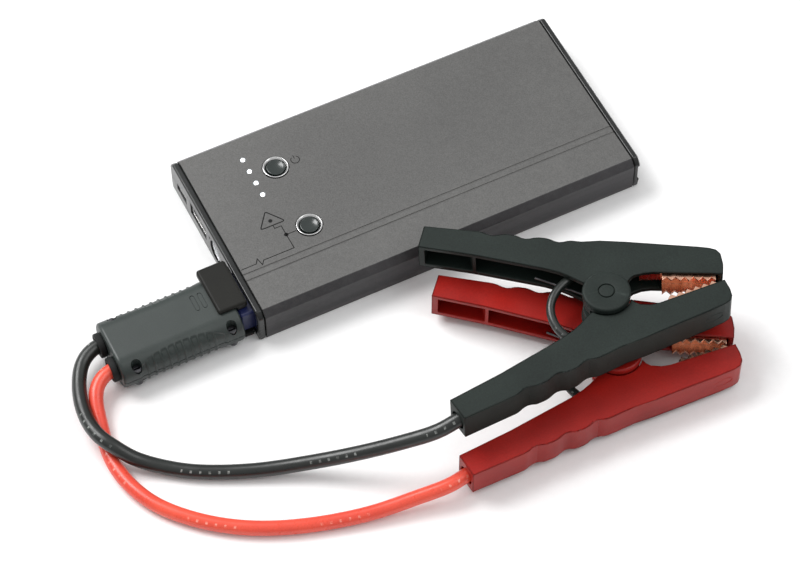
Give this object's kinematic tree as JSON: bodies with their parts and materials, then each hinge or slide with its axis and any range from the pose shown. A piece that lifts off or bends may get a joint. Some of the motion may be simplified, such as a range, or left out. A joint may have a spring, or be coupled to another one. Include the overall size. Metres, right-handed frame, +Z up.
{
  "type": "jump starter pack",
  "caption": "Flat pocket battery pack with two push buttons, indicator lights, charging ports and a torch, and a plug-in lead module that carries spring clamps for a vehicle battery.",
  "frame": {"origin": "centre of the pack's underside, on the surface it lies on", "axes": "+X along the pack, away from its port end; +Y across it, away from the clamps; +Z up"},
  "size_m": [0.2357, 0.1784, 0.0359],
  "materials": {
    "anodised_case": "fine bead-blasted dark grey anodising",
    "end_cap_plastic": "satin to gloss moulded",
    "cell_wrap": "laminated foil pouch",
    "circuit_board": "solder mask",
    "bright_steel": "polished",
    "button_face": "gloss",
    "light_white": "lit diffuser",
    "reflector": "vacuum metallised",
    "torch_lens": "clear moulded",
    "connector_blue": "satin moulded",
    "black_rubber": "matt",
    "module_plastic": "fine spark-eroded texture",
    "nose_plastic": "smooth satin",
    "contact_brass": "plated",
    "black_lead_jacket": "soft satin silicone",
    "red_lead_jacket": "soft satin silicone",
    "black_clamp_plastic": "fine matt texture",
    "red_clamp_plastic": "fine satin texture",
    "copper": "copper-plated stamping"
  },
  "bodies": {
    "pack": {"case_sleeve": "anodised_case", "port_end_cap": "end_cap_plastic", "rear_end_cap": "end_cap_plastic", "battery_cell_1": "cell_wrap", "battery_cell_2": "cell_wrap", "battery_cell_3": "cell_wrap", "main_board": "circuit_board", "power_switch": "end_cap_plastic", "boost_switch": "end_cap_plastic", "indicator_light_1": "light_white", "indicator_light_2": "light_white", "indicator_light_3": "light_white", "indicator_light_4": "light_white", "torch_reflector": "reflector", "torch_lens": "torch_lens", "torch_led": "light_white", "usb_a_port": "bright_steel", "micro_usb_port": "bright_steel", "power_socket": "connector_blue", "socket_flap": "black_rubber"},
    "power_button": {"power_button_rim": "bright_steel", "power_button_face": "button_face"},
    "boost_button": {"boost_button_rim": "bright_steel", "boost_button_face": "button_face"},
    "harness": {"module_upper_shell": "module_plastic", "module_lower_shell": "module_plastic", "module_nose_cap": "nose_plastic", "module_screw_1": "bright_steel", "module_screw_2": "bright_steel", "module_screw_3": "bright_steel", "module_screw_4": "bright_steel", "power_plug": "connector_blue", "plug_contact_positive": "contact_brass", "plug_contact_negative": "contact_brass", "module_board": "circuit_board", "black_lead_collar": "black_rubber", "red_lead_collar": "black_rubber", "black_lead": "black_lead_jacket", "red_lead": "red_lead_jacket", "black_lower_arm": "black_clamp_plastic", "black_lower_jaw_teeth": "copper", "black_pivot_rivet": "bright_steel", "black_pivot_cap_top": "black_clamp_plastic", "black_pivot_cap_base": "black_clamp_plastic", "black_torsion_spring": "bright_steel", "black_jumper_wire": "black_lead_jacket", "red_lower_arm": "red_clamp_plastic", "red_lower_jaw_teeth": "copper", "red_pivot_rivet": "bright_steel", "red_pivot_cap_top": "red_clamp_plastic", "red_pivot_cap_base": "red_clamp_plastic", "red_torsion_spring": "bright_steel", "red_jumper_wire": "black_lead_jacket"},
    "black_clamp_side": {"black_upper_arm": "black_clamp_plastic", "black_upper_jaw_teeth": "copper"},
    "red_clamp_side": {"red_upper_arm": "red_clamp_plastic", "red_upper_jaw_teeth": "copper"}
  },
  "joints": [
    {"name": "power_button_press", "type": "slide", "parent": "pack", "child": "power_button", "axis": [0, 0, -1], "range_m": [0, 0.0004], "stiffness_N_per_m": 1500, "springref_m": -0.0008},
    {"name": "boost_button_press", "type": "slide", "parent": "pack", "child": "boost_button", "axis": [0, 0, -1], "range_m": [0, 0.0004], "stiffness_N_per_m": 1500, "springref_m": -0.0008},
    {"name": "plug_pull", "type": "slide", "parent": "pack", "child": "harness", "axis": [-1, 0, 0], "range_m": [0, 0.02]},
    {"name": "black_clamp_open", "type": "hinge", "parent": "harness", "child": "black_clamp_side", "pos_m": [0.0328, -0.0989, 0.0268], "axis": [-0.0148, 0.041, 0.999], "range_deg": [0, 35], "stiffness_Nm_per_rad": 0.5, "springref_deg": -20.05, "deforming": ["black_torsion_spring", "black_jumper_wire"]},
    {"name": "red_clamp_open", "type": "hinge", "parent": "harness", "child": "red_clamp_side", "pos_m": [0.0303, -0.1133, 0.0091], "axis": [0.0055, -0.011, 0.9999], "range_deg": [0, 35], "stiffness_Nm_per_rad": 0.5, "springref_deg": -20.05, "deforming": ["red_torsion_spring", "red_jumper_wire"]}
  ]
}
